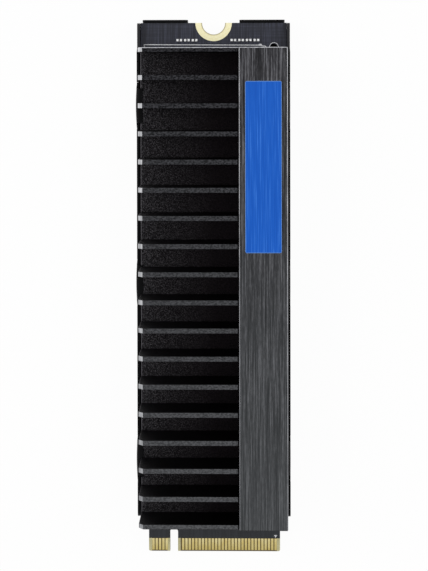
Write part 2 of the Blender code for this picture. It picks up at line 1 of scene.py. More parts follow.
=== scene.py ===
# Looks for a gumstick solid state drive: a plug-in card between a folded black tray
# and a black anodised heat sink with a brushed land and a blue label.
import math

import bmesh
import bpy
import numpy as np
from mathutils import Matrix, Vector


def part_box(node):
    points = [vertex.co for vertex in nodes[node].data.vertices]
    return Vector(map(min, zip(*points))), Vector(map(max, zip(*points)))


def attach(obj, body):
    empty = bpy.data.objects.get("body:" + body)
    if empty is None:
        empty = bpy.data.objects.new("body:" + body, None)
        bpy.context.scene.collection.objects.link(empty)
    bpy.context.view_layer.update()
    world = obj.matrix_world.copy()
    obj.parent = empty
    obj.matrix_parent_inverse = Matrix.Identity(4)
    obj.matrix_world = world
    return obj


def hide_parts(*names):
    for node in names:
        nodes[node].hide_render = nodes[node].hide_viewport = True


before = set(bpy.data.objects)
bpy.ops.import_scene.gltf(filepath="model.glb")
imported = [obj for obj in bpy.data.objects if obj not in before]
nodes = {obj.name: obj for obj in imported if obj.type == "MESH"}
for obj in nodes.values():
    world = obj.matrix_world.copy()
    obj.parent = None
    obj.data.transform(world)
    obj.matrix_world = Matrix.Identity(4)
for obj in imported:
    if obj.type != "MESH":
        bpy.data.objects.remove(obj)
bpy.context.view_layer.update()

mm = 0.001


def corners(node):
    # a node's lowest and highest corners at rest, in metres
    low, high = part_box(node)
    return np.array(low), np.array(high)


boardLow, boardHigh = corners("circuit_board")
sinkLow, sinkHigh = corners("heat_sink")
trayHigh = corners("clip_tray")[1]
plating = 0.03 * mm
boardTop = boardHigh[2] - plating
connectorEnd, screwEnd = boardLow[1], boardHigh[1]

print("stage: frame loaded")


# helpers for nodes and materials

def linear(hexColour):
    # sRGB hex to the linear values that a shader takes
    channels = np.array([int(hexColour[i:i + 2], 16) for i in (1, 3, 5)]) / 255
    curved = ((channels + 0.055) / 1.055) ** 2.4
    return (*np.where(channels <= 0.04045, channels / 12.92, curved).tolist(), 1.0)


def addNode(tree, kind, settings=None, links=None):
    # one node: settings are its sockets, its properties or a ramp's (position, colour) stops, with
    # colours as hex, and links are socket: (node, output); a map range's sockets 1 to 4 are the
    # range that comes in and the one that goes out, and it stops at both ends
    node = tree.nodes.new(kind)
    for key, value in (settings or {}).items():
        if isinstance(value, str) and value.startswith("#"):
            value = linear(value)
        if key == "stops":
            elements = node.color_ramp.elements
            while len(elements) < len(value):
                elements.new(0.5)
            for element, (position, colour) in zip(elements, value):
                element.position = position
                element.color = linear(colour)
        elif isinstance(key, int) or key in node.inputs:
            node.inputs[key].default_value = value
        else:
            setattr(node, key, value)
    for key, (source, output) in (links or {}).items():
        tree.links.new(source.outputs[output], node.inputs[key])
    return node


def startMaterial(name, shine):
    # a Principled material with fixed values on its own sockets, and its object coordinates
    material = bpy.data.materials.new(name)
    material.use_nodes = True
    tree = material.node_tree
    shader = tree.nodes["Principled BSDF"]
    for socket, value in shine.items():
        shader.inputs[socket].default_value = value
    place = addNode(tree, "ShaderNodeTexCoord")
    return material, tree, shader, place


def addGrain(tree, place, grain, detail=3.0):
    # noise whose blobs have the given size in millimetres along x, y and z
    scale = tuple(1 / (size * mm) for size in grain)
    mapping = addNode(tree, "ShaderNodeMapping", {"Scale": scale}, {"Vector": (place, "Object")})
    return addNode(
        tree, "ShaderNodeTexNoise", {"Scale": 1.0, "Detail": detail, "Roughness": 0.6},
        {"Vector": (mapping, 0)},
    )


def blendTones(tree, pattern, share, first, second):
    # a pattern in two sets of tones: the first where share is 0, the second where it is 1
    ramps = [
        addNode(tree, "ShaderNodeValToRGB", {"stops": stops}, {0: (pattern, 0)})
        for stops in (first, second)
    ]
    return addNode(
        tree, "ShaderNodeMix", {"data_type": "RGBA"}, {0: (share, 0), 6: (ramps[0], 0), 7: (ramps[1], 0)},
    )


def alongBar(tree, split):
    # 0 near the connector end of the heat sink, 1 near its screw end
    ends = {1: -34.0 * mm, 2: 36.0 * mm}
    return addNode(tree, "ShaderNodeMapRange", ends, {0: (split, 1)})


def finishShader(tree, shader, colour, relief=None, rough=None):
    # plugs in the colour, as (node, output), and where given the relief, as (pattern, (depth in
    # millimetres, strength)), and the roughness, as (pattern, (its low, its high, roughness at each))
    tree.links.new(colour[0].outputs[colour[1]], shader.inputs["Base Color"])
    if relief:
        height, (depth, strength) = relief
        settings = {"Strength": strength, "Distance": depth * mm}
        bump = addNode(tree, "ShaderNodeBump", settings, {"Height": (height, 0)})
        tree.links.new(bump.outputs[0], shader.inputs["Normal"])
    if rough:
        pattern, spread = rough
        change = addNode(tree, "ShaderNodeMapRange", dict(enumerate(spread, 1)), {0: (pattern, 0)})
        tree.links.new(change.outputs[0], shader.inputs["Roughness"])


def grainedMaterial(name, shine, grain, detail, stops, relief=None):
    # a plain finish: one grain gives the tones and the relief, as (depth in millimetres, strength)
    material, tree, shader, place = startMaterial(name, shine)
    pattern = addGrain(tree, place, grain, detail)
    colour = addNode(tree, "ShaderNodeValToRGB", {"stops": stops}, {0: (pattern, 0)})
    finishShader(tree, shader, (colour, 0), relief and (pattern, relief))
    return material


def brushedAnodisedAluminium(finSide):
    # black dyed oxide over lengthwise brushing: long fine streaks, strongest near the screw end,
    # and the narrow fin tops darker and finer than the land; real brushing is about 0.03 mm
    # wide, too fine to show, so it is drawn coarser
    look = {
        "fineStreak": (0.11, 8.0, 0.11), "broadStreak": (0.5, 40.0, 0.5), "broadShare": 0.18,
        "fleck": (0.14, 0.9, 0.14), "fleckShare": 0.3, "mottle": (0.3, 0.2, 0.32),
        "relief": (0.003, 0.4), "rough": (0.3, 0.7, 0.3, 0.42),
        "landAtScrew": ((0.6, "#28282a"), (0.75, "#3e3e41"), (0.95, "#7a7a7f")),
        "landAtConnector": ((0.6, "#414345"), (0.75, "#4f5153"), (0.95, "#6c6e71")),
        "finsAtScrew": ((0.4, "#0a0a0c"), (0.6, "#3e3e42")),
        "finsAtConnector": ((0.39, "#434446"), (0.61, "#636467")),
        "paintedShadeFrom": 0.27, "paintedShadeTo": 0.189, "paintedShadeTone": "#0c0c0d", "landBlend": 0.02,
    }
    material, tree, shader, place = startMaterial(
        "brushedAnodisedAluminium", {"Metallic": 1.0, "Roughness": 0.34},
    )
    split = addNode(tree, "ShaderNodeSeparateXYZ", None, {0: (place, "Object")})
    along = alongBar(tree, split)
    fine = addGrain(tree, place, look["fineStreak"])
    broad = addGrain(tree, place, look["broadStreak"], 2.0)
    fleck = addGrain(tree, place, look["fleck"])
    mottle = addGrain(tree, place, look["mottle"], 4.0)
    streaks = addNode(
        tree, "ShaderNodeMath", {"operation": "MULTIPLY_ADD", 1: look["broadShare"]},
        {0: (broad, 0), 2: (fine, 0)},
    )
    flecked = addNode(
        tree, "ShaderNodeMath", {"operation": "MULTIPLY_ADD", 1: look["fleckShare"]},
        {0: (fleck, 0), 2: (streaks, 0)},
    )
    land = blendTones(tree, flecked, along, look["landAtConnector"], look["landAtScrew"])
    fins = blendTones(tree, mottle, along, look["finsAtConnector"], look["finsAtScrew"])
    # painted shade: a dark strip along each fin top where it meets the land
    corner = addNode(
        tree, "ShaderNodeMapRange",
        {1: finSide - look["paintedShadeFrom"] * mm, 2: finSide - look["paintedShadeTo"] * mm}, {0: (split, 0)},
    )
    paintedShadeAtLand = addNode(
        tree, "ShaderNodeMix", {"data_type": "RGBA", 7: look["paintedShadeTone"]},
        {0: (corner, 0), 6: (fins, 2)},
    )
    onLand = addNode(
        tree, "ShaderNodeMapRange", {1: finSide - look["landBlend"] * mm, 2: finSide}, {0: (split, 0)},
    )
    colour = addNode(
        tree, "ShaderNodeMix", {"data_type": "RGBA"}, {0: (onLand, 0), 6: (paintedShadeAtLand, 2), 7: (land, 2)},
    )
    finishShader(tree, shader, (colour, 2), (fine, look["relief"]), (fine, look["rough"]))
    return material


def sawnAnodisedAluminium(name, outerSide, litOpenSideTones, shadedLandSideTones):
    # the cut faces between the fins: black dyed oxide over a milled grain, dull and very dark, with
    # painted light at the open side, where the grain is drawn brighter and more speckled, and painted
    # shade deepening towards the land; a little darker at the screw end, and with a painted highlight
    # along the outer edge; real tool marks are a few hundredths of a millimetre, so they are drawn
    # coarser to show
    look = {
        "grain": (0.125, 0.125, 0.125), "relief": (0.005, 0.6), "openSide": -11.0, "closedSide": 0.0,
        "edgeHighlightFrom": 0.07, "edgeHighlightTo": 0.14, "edgeHighlightShare": 0.55, "edgeHighlightTone": "#6b696d",
        "screwEndTone": "#dadada",
    }
    material, tree, shader, place = startMaterial(name, {"Metallic": 1.0, "Roughness": 0.55})
    split = addNode(tree, "ShaderNodeSeparateXYZ", None, {0: (place, "Object")})
    grain = addGrain(tree, place, look["grain"], 4.0)
    inward = addNode(
        tree, "ShaderNodeMapRange", {1: look["openSide"] * mm, 2: look["closedSide"] * mm},
        {0: (split, 0)},
    )
    # painted light and shade: brighter, more speckled tones at the open side fade to darker ones towards
    # the land
    litToShadedInward = blendTones(tree, grain, inward, litOpenSideTones, shadedLandSideTones)
    sawn = addNode(
        tree, "ShaderNodeMix",
        {"data_type": "RGBA", "blend_type": "MULTIPLY", 7: look["screwEndTone"]},
        {0: (alongBar(tree, split), 0), 6: (litToShadedInward, 2)},
    )
    # painted highlight: a pale strip on the floors and faces along the bar's open outer edge
    edgeHighlightFrom, edgeHighlightTo = (outerSide + look[end] * mm for end in ("edgeHighlightFrom", "edgeHighlightTo"))
    edgeHighlight = addNode(
        tree, "ShaderNodeMapRange", {1: edgeHighlightFrom, 2: edgeHighlightTo, 3: look["edgeHighlightShare"], 4: 0.0},
        {0: (split, 0)},
    )
    colour = addNode(
        tree, "ShaderNodeMix", {"data_type": "RGBA", 7: look["edgeHighlightTone"]}, {0: (edgeHighlight, 0), 6: (sawn, 2)},
    )
    finishShader(tree, shader, (colour, 2), (grain, look["relief"]))
    return material


def extrudedAluminium():
    # the outer skin of the bar: black dyed oxide over the fine lengthwise lines of the die, satin
    look = {
        "dieLine": (0.1, 30.0, 0.1), "wide": (1.2, 40.0, 1.2), "wideShare": 0.4,
        "relief": (0.004, 0.5), "rough": (0.3, 0.7, 0.34, 0.46),
        "tones": ((0.5, "#27272a"), (0.7, "#343438"), (0.9, "#54545a")),
    }
    material, tree, shader, place = startMaterial(
        "extrudedAluminium", {"Metallic": 1.0, "Roughness": 0.4},
    )
    dieLine = addGrain(tree, place, look["dieLine"])
    wide = addGrain(tree, place, look["wide"], 2.0)
    lines = addNode(
        tree, "ShaderNodeMath", {"operation": "MULTIPLY_ADD", 1: look["wideShare"]},
        {0: (wide, 0), 2: (dieLine, 0)},
    )
    colour = addNode(tree, "ShaderNodeValToRGB", {"stops": look["tones"]}, {0: (lines, 0)})
    finishShader(tree, shader, (colour, 0), (dieLine, look["relief"]), (dieLine, look["rough"]))
    return material


def sawnEndAluminium():
    # both ends of the bar, where it was sawn to length: shallow upright blade marks under the dye
    look = {
        "bladeMark": (0.16, 4.0, 3.0), "fleck": (0.12, 0.12, 0.12), "fleckShare": 0.35,
        "relief": (0.006, 0.5), "tones": ((0.5, "#1d1d20"), (0.68, "#2c2c30"), (0.88, "#4a4a50")),
    }
    material, tree, shader, place = startMaterial(
        "sawnEndAluminium", {"Metallic": 1.0, "Roughness": 0.48},
    )
    bladeMark = addGrain(tree, place, look["bladeMark"])
    fleck = addGrain(tree, place, look["fleck"])
    marks = addNode(
        tree, "ShaderNodeMath", {"operation": "MULTIPLY_ADD", 1: look["fleckShare"]},
        {0: (fleck, 0), 2: (bladeMark, 0)},
    )
    colour = addNode(tree, "ShaderNodeValToRGB", {"stops": look["tones"]}, {0: (marks, 0)})
    finishShader(tree, shader, (colour, 0), (marks, look["relief"]))
    return material


def cutAluminium(name, brightTones, dullTones):
    # bare aluminium where the chamfers were cut after dyeing: bright at the screw end, duller and
    # coarser towards the connector, with faint tool lines
    look = {"toolLine": (0.2, 0.05, 0.2), "patch": (0.5, 3.0, 0.5), "relief": (0.002, 0.4)}
    material, tree, shader, place = startMaterial(name, {"Metallic": 1.0, "Roughness": 0.26})
    split = addNode(tree, "ShaderNodeSeparateXYZ", None, {0: (place, "Object")})
    toolLine = addGrain(tree, place, look["toolLine"], 2.0)
    patch = addGrain(tree, place, look["patch"], 2.0)
    colour = blendTones(tree, patch, alongBar(tree, split), dullTones, brightTones)
    finishShader(tree, shader, (colour, 2), (toolLine, look["relief"]))
    return material


def coatedSteel(name, gloss, tones):
    # thin black coat on sheet steel: faint orange peel, scuffs a little lighter
    look = {
        "peel": (0.35, 0.35, 0.35), "scuff": (1.5, 4.0, 1.5), "relief": (0.006, 0.5),
        "rough": (0.3, 0.75, 0.34, 0.48),
    }
    material, tree, shader, place = startMaterial(
        name, {"Roughness": 0.42, "IOR": 1.45, "Specular IOR Level": gloss},
    )
    peel = addGrain(tree, place, look["peel"], 2.0)
    scuff = addGrain(tree, place, look["scuff"], 5.0)
    colour = addNode(tree, "ShaderNodeValToRGB", {"stops": tones}, {0: (scuff, 0)})
    finishShader(tree, shader, (colour, 0), (peel, look["relief"]), (scuff, look["rough"]))
    return material


def wornEdgeAndHighlight():
    # the tray's cut edges and bends, drawn a lighter grey: partly a thinner, rubbed coat and partly a
    # painted highlight where the rounded edges catch the light
    return grainedMaterial(
        "wornEdgeAndHighlight", {"Roughness": 0.4, "IOR": 1.45}, (0.3, 0.3, 0.3), 4.0,
        ((0.35, "#101012"), (0.6, "#252528"), (0.8, "#58585c")), (0.004, 0.4),
    )


def solderMask(maskEnd):
    # satin blue-black mask over glass cloth, drawn less blue near the connector as painted light, and the
    # bare laminate past its end there: amber between the contacts, darkened by painted shade between the
    # pads, pale where no contact stands
    look = {
        "warp": (0.175, 6.0, 0.5), "weft": (6.0, 0.175, 0.5), "weftShare": 0.4,
        "relief": (0.003, 0.4), "blueFrom": 12.0, "edgeBlend": 0.02,
        "rowEnd": 9.45, "key": -6.125, "keyReach": 1.0,
        "neutral": ((0.58, "#14171b"), (0.72, "#1a1d22"), (0.88, "#25282d")),
        "bluish": ((0.58, "#191b27"), (0.72, "#252733"), (0.88, "#383b4a")),
        "pale": ((0.6, "#bcb486"), (0.95, "#dcd7ae")),
        "amberAndShade": ((0.6, "#493813"), (0.95, "#6e5a28")),
    }
    material, tree, shader, place = startMaterial("solderMask", {"Roughness": 0.38, "IOR": 1.45})
    split = addNode(tree, "ShaderNodeSeparateXYZ", None, {0: (place, "Object")})
    warp = addGrain(tree, place, look["warp"], 2.0)
    weft = addGrain(tree, place, look["weft"], 2.0)
    weave = addNode(
        tree, "ShaderNodeMath", {"operation": "MULTIPLY_ADD", 1: look["weftShare"]},
        {0: (weft, 0), 2: (warp, 0)},
    )
    # painted light: the mask is drawn less blue near the connector, a tint of the light there rather than
    # of the mask
    paintedLightBlueness = addNode(
        tree, "ShaderNodeMapRange", {1: maskEnd, 2: maskEnd + look["blueFrom"] * mm}, {0: (split, 1)},
    )
    mask = blendTones(tree, weave, paintedLightBlueness, look["neutral"], look["bluish"])
    # 1 where contacts stand: inside the row, but not at the key slot
    inRow = addNode(
        tree, "ShaderNodeMath", {"operation": "COMPARE", 1: 0.0, 2: look["rowEnd"] * mm},
        {0: (split, 0)},
    )
    atKey = addNode(
        tree, "ShaderNodeMath",
        {"operation": "COMPARE", 1: look["key"] * mm, 2: look["keyReach"] * mm}, {0: (split, 0)},
    )
    contacts = addNode(
        tree, "ShaderNodeMath", {"operation": "SUBTRACT"}, {0: (inRow, 0), 1: (atKey, 0)},
    )
    # the laminate between the contacts is drawn dark amber: its own tint darkened by painted shade between
    # the pads
    laminate = blendTones(tree, weave, contacts, look["pale"], look["amberAndShade"])
    blend = look["edgeBlend"] * mm
    bare = addNode(
        tree, "ShaderNodeMapRange", {1: maskEnd - blend, 2: maskEnd + blend, 3: 1.0, 4: 0.0},
        {0: (split, 1)},
    )
    colour = addNode(
        tree, "ShaderNodeMix", {"data_type": "RGBA"}, {0: (bare, 0), 6: (mask, 2), 7: (laminate, 2)},
    )
    finishShader(tree, shader, (colour, 2), (weave, look["relief"]))
    return material


def goldPlating():
    # nickel and gold over copper: warm, softly mottled, duller towards the edge that is pushed in
    look = {
        "mottle": (0.9, 1.4, 0.9), "relief": (0.001, 0.5), "wornTo": 0.3, "freshFrom": 1.9,
        "fresh": ((0.3, "#e0cb82"), (0.7, "#efe4b0")), "worn": ((0.3, "#c9b56c"), (0.7, "#dccb86")),
    }
    material, tree, shader, place = startMaterial("goldPlating", {"Metallic": 1.0, "Roughness": 0.34})
    split = addNode(tree, "ShaderNodeSeparateXYZ", None, {0: (place, "Object")})
    mottle = addGrain(tree, place, look["mottle"])
    wornTo, freshFrom = (connectorEnd + look[end] * mm for end in ("wornTo", "freshFrom"))
    inserted = addNode(
        tree, "ShaderNodeMapRange", {1: wornTo, 2: freshFrom, 3: 1.0, 4: 0.0}, {0: (split, 1)},
    )
    colour = blendTones(tree, mottle, inserted, look["fresh"], look["worn"])
    finishShader(tree, shader, (colour, 2), (mottle, look["relief"]))
    return material


def paleGoldPlating(notchRadius):
    # the wide screw land: matte gold that looks creamy in soft light, with painted shade in a darker band
    # at the rim of the notch
    look = {
        "mottle": (0.25, 0.25, 0.25), "relief": (0.002, 0.4), "shadedRimFrom": 0.02, "shadedRimTo": 0.2,
        "rimTone": "#a79c78", "tones": ((0.3, "#f7eebc"), (0.7, "#fffad8")),
    }
    material, tree, shader, place = startMaterial(
        "paleGoldPlating", {"Metallic": 1.0, "Roughness": 0.45},
    )
    mottle = addGrain(tree, place, look["mottle"])
    face = addNode(tree, "ShaderNodeValToRGB", {"stops": look["tones"]}, {0: (mottle, 0)})
    # how far a point lies from the middle of the notch, seen from above
    fromNotch = addNode(
        tree, "ShaderNodeMapping", {"Location": (0, -screwEnd, 0), "Scale": (1, 1, 0)},
        {0: (place, "Object")},
    )
    reach = addNode(tree, "ShaderNodeVectorMath", {"operation": "LENGTH"}, {0: (fromNotch, 0)})
    # painted shade: a darker band on the land and the plated notch wall, standing in for the shadow inside
    # the notch
    shadedRimFrom, shadedRimTo = (notchRadius + look[end] * mm for end in ("shadedRimFrom", "shadedRimTo"))
    rim = addNode(
        tree, "ShaderNodeMapRange", {1: shadedRimFrom, 2: shadedRimTo, 3: 1.0, 4: 0.0}, {0: (reach, "Value")},
    )
    colour = addNode(
        tree, "ShaderNodeMix", {"data_type": "RGBA", 7: look["rimTone"]}, {0: (rim, 0), 6: (face, 0)},
    )
    finishShader(tree, shader, (colour, 2), (mottle, look["relief"]))
    return material


def cutLaminate():
    # the routed edge of glass laminate: dull olive brown with the cloth layers showing
    return grainedMaterial(
        "cutLaminate", {"Roughness": 0.75, "IOR": 1.5}, (2.0, 2.0, 0.12), 3.0,
        ((0.35, "#2a291d"), (0.6, "#4a4731"), (0.8, "#6b6748")), (0.01, 0.6),
    )


def blueFilm(low, high):
    # printed blue label film: the brushing underneath shows through as faint lengthwise streaks, and
    # the print stops short of the cut edge, so a pale rim of film shows
    look = {
        "streak": (0.12, 9.0, 0.12), "relief": (0.001, 0.4), "rim": 0.09, "rimBlend": 0.02,
        "rimTone": "#5f93dd", "printed": ((0.4, "#0057c1"), (0.55, "#0a5fcb"), (0.7, "#3a7fe3")),
    }
    material, tree, shader, place = startMaterial("blueFilm", {"Roughness": 0.45, "IOR": 1.35})
    split = addNode(tree, "ShaderNodeSeparateXYZ", None, {0: (place, "Object")})
    streak = addGrain(tree, place, look["streak"])
    printed = addNode(tree, "ShaderNodeValToRGB", {"stops": look["printed"]}, {0: (streak, 0)})
    middle, inner = (low + high) / 2, (high - low) / 2 - look["rim"] * mm
    rims = []
    for axis in (0, 1):
        offset = addNode(
            tree, "ShaderNodeMath", {"operation": "SUBTRACT", 1: middle[axis]}, {0: (split, axis)},
        )
        away = addNode(tree, "ShaderNodeMath", {"operation": "ABSOLUTE"}, {0: (offset, 0)})
        blend = {1: inner[axis], 2: inner[axis] + look["rimBlend"] * mm}
        rims.append(addNode(tree, "ShaderNodeMapRange", blend, {0: (away, 0)}))
    rim = addNode(
        tree, "ShaderNodeMath", {"operation": "MAXIMUM"}, {0: (rims[0], 0), 1: (rims[1], 0)},
    )
    colour = addNode(
        tree, "ShaderNodeMix", {"data_type": "RGBA", 7: look["rimTone"]}, {0: (rim, 0), 6: (printed, 0)},
    )
    finishShader(tree, shader, (colour, 2), (streak, look["relief"]))
    return material


def filmEdge():
    # the label's cut edge, where the pale core of the film shows
    return grainedMaterial(
        "filmEdge", {"Roughness": 0.5, "IOR": 1.45}, (0.2, 0.2, 0.2), 2.0,
        ((0.3, "#4f83d6"), (0.7, "#86a9e2")),
    )


def whiteInk():
    # screen-printed epoxy ink: slightly grey, soft edged and speckled by the mask below
    return grainedMaterial(
        "whiteInk", {"Roughness": 0.7, "IOR": 1.45}, (0.12, 0.12, 0.12), 3.0,
        ((0.35, "#b9bbbf"), (0.6, "#ececee")), (0.003, 0.4),
    )


def siliconePad():
    # filled silicone sheet: soft matte grey with fine filler specks under a faint cloudiness
    look = {
        "speck": (0.15, 0.15, 0.15), "cloud": (4.0, 4.0, 4.0), "relief": (0.01, 0.5),
        "speckTones": ((0.3, "#84878c"), (0.7, "#a3a6aa")),
        "cloudTones": ((0.3, "#e6e6e6"), (0.7, "#ffffff")),
    }
    material, tree, shader, place = startMaterial("siliconePad", {"Roughness": 0.85, "IOR": 1.41})
    speck = addGrain(tree, place, look["speck"], 5.0)
    cloud = addGrain(tree, place, look["cloud"], 2.0)
    fine = addNode(tree, "ShaderNodeValToRGB", {"stops": look["speckTones"]}, {0: (speck, 0)})
    wide = addNode(tree, "ShaderNodeValToRGB", {"stops": look["cloudTones"]}, {0: (cloud, 0)})
    colour = addNode(
        tree, "ShaderNodeMix", {"data_type": "RGBA", "blend_type": "MULTIPLY", 0: 1.0},
        {6: (fine, 0), 7: (wide, 0)},
    )
    finishShader(tree, shader, (colour, 2), (speck, look["relief"]))
    return material


def mouldedEpoxy():
    # black mould compound: a dull, slightly rough skin with silica sparkle, drawn coarser than the
    # real filler so that it shows
    return grainedMaterial(
        "mouldedEpoxy", {"Roughness": 0.6, "IOR": 1.55}, (0.09, 0.09, 0.09), 4.0,
        ((0.35, "#141415"), (0.65, "#202022"), (0.8, "#3a3a3d")), (0.005, 0.5),
    )


def packageSubstrate():
    # the thin green-black laminate under a mould cap
    return grainedMaterial(
        "packageSubstrate", {"Roughness": 0.5, "IOR": 1.5}, (1.0, 1.0, 0.08), 2.0,
        ((0.35, "#121d17"), (0.7, "#27382d")), (0.004, 0.4),
    )


def firedCeramic(name, dark, light):
    # a sintered body: even, satin and very finely pitted, with pits drawn larger than real ones so
    # that they show
    return grainedMaterial(
        name, {"Roughness": 0.5, "IOR": 1.7}, (0.06, 0.06, 0.06), 3.0,
        ((0.3, dark), (0.7, light)), (0.003, 0.5),
    )


def tinnedEnd():
    # reflowed tin: bright, soft and slightly uneven
    return grainedMaterial(
        "tinnedEnd", {"Metallic": 0.9, "Roughness": 0.45}, (0.15, 0.15, 0.15), 2.0,
        ((0.3, "#dcdde0"), (0.7, "#fafafa")), (0.008, 0.6),
    )


def pressedFerrite():
    # pressed iron powder and resin: dark grey with a visible grain
    return grainedMaterial(
        "pressedFerrite", {"Roughness": 0.7, "IOR": 1.6}, (0.12, 0.12, 0.12), 5.0,
        ((0.3, "#2b2b2c"), (0.6, "#414142"), (0.8, "#6a6a6b")), (0.01, 0.6),
    )


def platedLid():
    # the welded lid of a crystal: pale nickel plate with faint rolling lines
    return grainedMaterial(
        "platedLid", {"Metallic": 1.0, "Roughness": 0.26}, (1.2, 0.06, 1.2), 3.0,
        ((0.3, "#b3b0a6"), (0.7, "#d6d3c8")), (0.002, 0.5),
    )


# shape helpers

def cleanCopy(name, node):
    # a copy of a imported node's mesh with its loose triangles merged back into flat faces: points
    # closer than the weld, in millimetres, become one, and so do faces that turn by less than the
    # angle, in degrees
    look = {"weld": 0.0004, "angle": 0.5}
    mesh = nodes[node].data.copy()
    mesh.name = name
    mesh.materials.clear()
    shape = bmesh.new()
    shape.from_mesh(mesh)
    bmesh.ops.remove_doubles(shape, verts=shape.verts, dist=look["weld"] * mm)
    bmesh.ops.dissolve_limit(
        shape, angle_limit=math.radians(look["angle"]), verts=shape.verts, edges=shape.edges,
        delimit=set(),
    )
    shape.to_mesh(mesh)
    shape.free()
    mesh.shade_flat()
    return mesh


def getPlaces(mesh):
    # every vertex's place, one row each
    places = np.empty(len(mesh.vertices) * 3)
    mesh.vertices.foreach_get("co", places)
    return places.reshape(-1, 3)


def setPlaces(mesh, places):
    # puts the moved vertices back into the mesh
    mesh.vertices.foreach_set("co", places.ravel())
    mesh.update()


def addPiece(name, mesh, materials, replaced=()):
    # puts a finished mesh on the drive, in place of the nodes it stands for
    for material in materials:
        mesh.materials.append(material)
    piece = bpy.data.objects.new(name, mesh)
    bpy.context.scene.collection.objects.link(piece)
    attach(piece, "root")
    if replaced:
        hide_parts(*replaced)
    return piece


def dress(name, node, materials, edge, chooser=None, edgeMaterial=-1):
    # a copy of a CAD node with edges softened by the given millimetres; chooser gives each face the
    # number of its material from its normal and middle, and edgeMaterial is that of the soft edges
    look = {"rows": 2, "sharpFrom": 28}
    mesh = cleanCopy(name, node)
    if chooser:
        normals, middles = np.empty((2, len(mesh.polygons) * 3))
        mesh.polygons.foreach_get("normal", normals)
        mesh.polygons.foreach_get("center", middles)
        index = chooser(normals.reshape(-1, 3), middles.reshape(-1, 3))
        mesh.polygons.foreach_set("material_index", index.astype(np.int32))
    piece = addPiece(name, mesh, materials, (node,))
    bevel = piece.modifiers.new("softened edges", "BEVEL")
    bevel.width = edge * mm
    bevel.segments = look["rows"]
    bevel.limit_method = "ANGLE"
    bevel.angle_limit = math.radians(look["sharpFrom"])
    bevel.material = edgeMaterial
    return piece


print("stage: heat sink")


def heatSink():
    look = {
        "finTop": 5.65, "base": 1.0, "land": 7.05, "landRise": 0.45, "edge": 0.015,
        "flat": 0.98, "slant": (0.3, 0.95), "finEnd": 1.0, "endReach": 0.05, "footReach": 0.12,
        "kerf": 0.055, "kerfReach": 0.15,
        "chamferBright": ((0.35, "#b4b5b8"), (0.65, "#dadbde")),
        "chamferDull": ((0.35, "#77787b"), (0.65, "#a6a7aa")),
        "edgeBright": ((0.35, "#a0a1a5"), (0.65, "#cecfd3")),
        "edgeDull": ((0.35, "#6d6e72"), (0.65, "#97989c")),
        "faceLitOpenSide": ((0.4, "#0b0a0c"), (0.52, "#1c1b1d"), (0.66, "#4d4b4f")),
        "faceShadedLandSide": ((0.4, "#0d0b0d"), (0.66, "#1b171a")),
        "floorLitOpenSide": ((0.4, "#100f11"), (0.52, "#272628"), (0.66, "#69676b")),
        "floorShadedLandSide": ((0.4, "#151315"), (0.66, "#2a2528")),
    }
    halfUpFins = sinkLow[2] + (look["base"] + 0.5 * look["finTop"]) * mm
    landSide = sinkHigh[0] - look["land"] * mm

    def chooser(normals, middles):
        # 0 brushed tops, 1 cut faces, 2 bare chamfers at the fins' ends, 3 thin bare edges,
        # 4 the bar's outer sides and underside, 5 its sawn ends, 6 the floors between the fins
        flat, (least, most) = look["flat"], look["slant"]
        high = middles[:, 2] > halfUpFins
        level = normals[:, 2] > flat
        skin = (np.abs(normals[:, 0]) > flat) | (normals[:, 2] < -flat)
        toEnd = np.minimum(middles[:, 1] - sinkLow[1], sinkHigh[1] - middles[:, 1])
        sawn = (np.abs(normals[:, 1]) > flat) & (toEnd < look["endReach"] * mm)
        tilt = np.abs(normals[:, 2])
        slanted = (tilt > least) & (tilt < most) & (normals[:, 1] > -least)
        finEnd = middles[:, 0] < sinkLow[0] + look["finEnd"] * mm
        index = np.where(sawn, 5, np.where(skin, 4, 1))
        index = np.where(slanted & high, np.where(finEnd, 2, 3), index)
        # the fillet at the foot of the land, where the fin tops run into it, stays black
        foot = slanted & (np.abs(middles[:, 0] - landSide) < look["footReach"] * mm)
        foot &= middles[:, 2] < sinkHigh[2] - 0.5 * look["landRise"] * mm
        index = np.where(foot, 1, index)
        return np.where(level, np.where(high, 0, 6), index)

    # painted light: the floors, facing up, get lighter tones than the fins' faces, a lit and a shaded copy
    # of one finish
    materials = [
        brushedAnodisedAluminium(landSide),
        sawnAnodisedAluminium(
            "sawnAnodisedAluminium", sinkLow[0], look["faceLitOpenSide"], look["faceShadedLandSide"],
        ),
        cutAluminium("cutAluminium", look["chamferBright"], look["chamferDull"]),
        cutAluminium("cutAluminiumEdge", look["edgeBright"], look["edgeDull"]),
        extrudedAluminium(),
        sawnEndAluminium(),
        sawnAnodisedAluminium(
            "litMilledFloorAluminium", sinkLow[0], look["floorLitOpenSide"], look["floorShadedLandSide"],
        ),
    ]
    piece = dress("finnedHeatSink", "heat_sink", materials, look["edge"], chooser)
    # the saw's kerf: every point near the screw end stands back by it
    places = getPlaces(piece.data)
    places[:, 1] -= look["kerf"] * mm * (places[:, 1] > sinkHigh[1] - look["kerfReach"] * mm)
    setPlaces(piece.data, places)


heatSink()

print("stage: tray")


